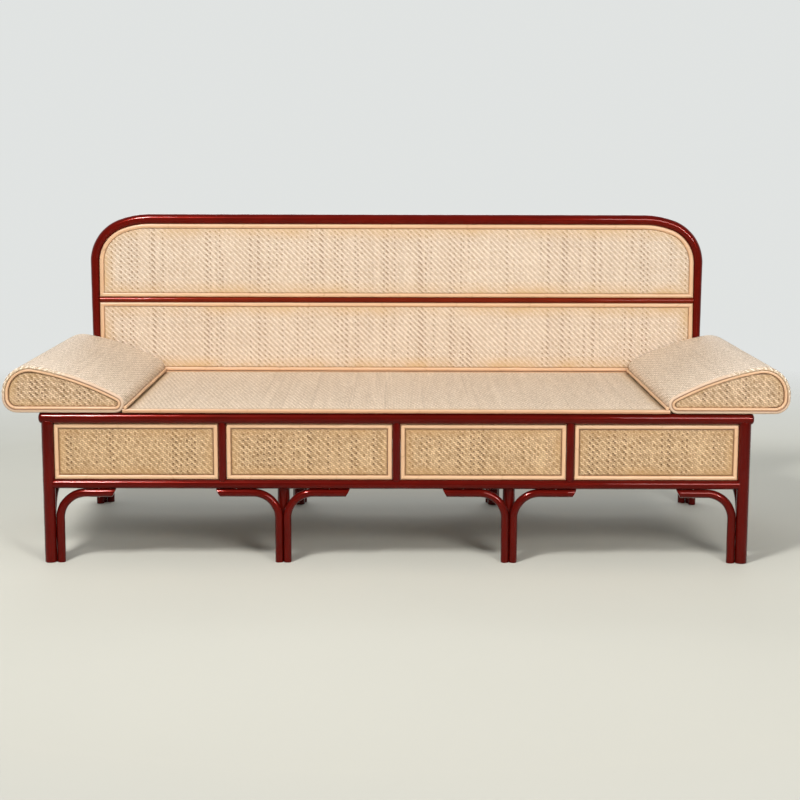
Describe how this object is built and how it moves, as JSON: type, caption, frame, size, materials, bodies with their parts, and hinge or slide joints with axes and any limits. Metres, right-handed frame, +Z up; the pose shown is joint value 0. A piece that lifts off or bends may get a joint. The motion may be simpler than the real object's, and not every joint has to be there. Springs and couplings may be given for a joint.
{
  "type": "luohan daybed",
  "caption": "Long cane daybed on lacquered poles, with a round-shouldered woven back, overhanging teardrop armrests, a woven apron and bent braces between its legs.",
  "frame": {"origin": "on the floor, under the middle of the daybed's outline", "axes": "X along the length with the sitter's left at +X, front at -Y, Z up"},
  "size_m": [2.1, 0.803, 0.908],
  "materials": {
    "lacquered_pole": "dark red-brown gloss lacquer",
    "cane_weave": "natural cane twill, satin",
    "fine_cane_weave": "fine natural cane twill, satin",
    "cane_strip": "clear varnished cane",
    "plain_wood": "bare",
    "steel_screw": "zinc"
  },
  "bodies": {
    "root": {"arm_seam_canes": "cane_strip", "back_bars": "lacquered_pole", "back_hoop": "lacquered_pole", "back_lower_panel": "cane_weave", "back_middle_rail": "lacquered_pole", "back_strips": "cane_strip", "back_upper_panel": "cane_weave", "brace_screws": "steel_screw", "cross_stretchers": "lacquered_pole", "end_panel_strips": "cane_strip", "end_panels": "cane_weave", "frame_dowels": "plain_wood", "front_dividers": "lacquered_pole", "front_far_left_panel": "cane_weave", "front_far_right_panel": "cane_weave", "front_left_centre_post": "lacquered_pole", "front_left_corner_brace": "lacquered_pole", "front_left_end_brace": "lacquered_pole", "front_left_forked_brace": "lacquered_pole", "front_left_leg": "lacquered_pole", "front_lower_rail": "lacquered_pole", "front_near_left_panel": "cane_weave", "front_near_right_panel": "cane_weave", "front_panel_strips": "cane_strip", "front_right_centre_post": "lacquered_pole", "front_right_corner_brace": "lacquered_pole", "front_right_end_brace": "lacquered_pole", "front_right_forked_brace": "lacquered_pole", "front_right_leg": "lacquered_pole", "front_top_rail": "lacquered_pole", "left_arm_end_panels": "cane_weave", "left_arm_end_rings": "cane_strip", "left_arm_frame": "lacquered_pole", "left_arm_skin": "fine_cane_weave", "left_lower_rail": "lacquered_pole", "left_top_rail": "lacquered_pole", "rear_dividers": "lacquered_pole", "rear_left_centre_post": "lacquered_pole", "rear_left_corner_brace": "lacquered_pole", "rear_left_end_brace": "lacquered_pole", "rear_left_forked_brace": "lacquered_pole", "rear_left_leg": "lacquered_pole", "rear_lower_rail": "lacquered_pole", "rear_panel_strips": "cane_strip", "rear_panels": "cane_weave", "rear_right_centre_post": "lacquered_pole", "rear_right_corner_brace": "lacquered_pole", "rear_right_end_brace": "lacquered_pole", "rear_right_forked_brace": "lacquered_pole", "rear_right_leg": "lacquered_pole", "rear_top_rail": "lacquered_pole", "right_arm_end_panels": "cane_weave", "right_arm_end_rings": "cane_strip", "right_arm_frame": "lacquered_pole", "right_arm_skin": "fine_cane_weave", "right_lower_rail": "lacquered_pole", "right_top_rail": "lacquered_pole", "seat_bearers": "lacquered_pole", "seat_edge_strips": "cane_strip", "seat_mat": "fine_cane_weave"}
  },
  "joints": []
}
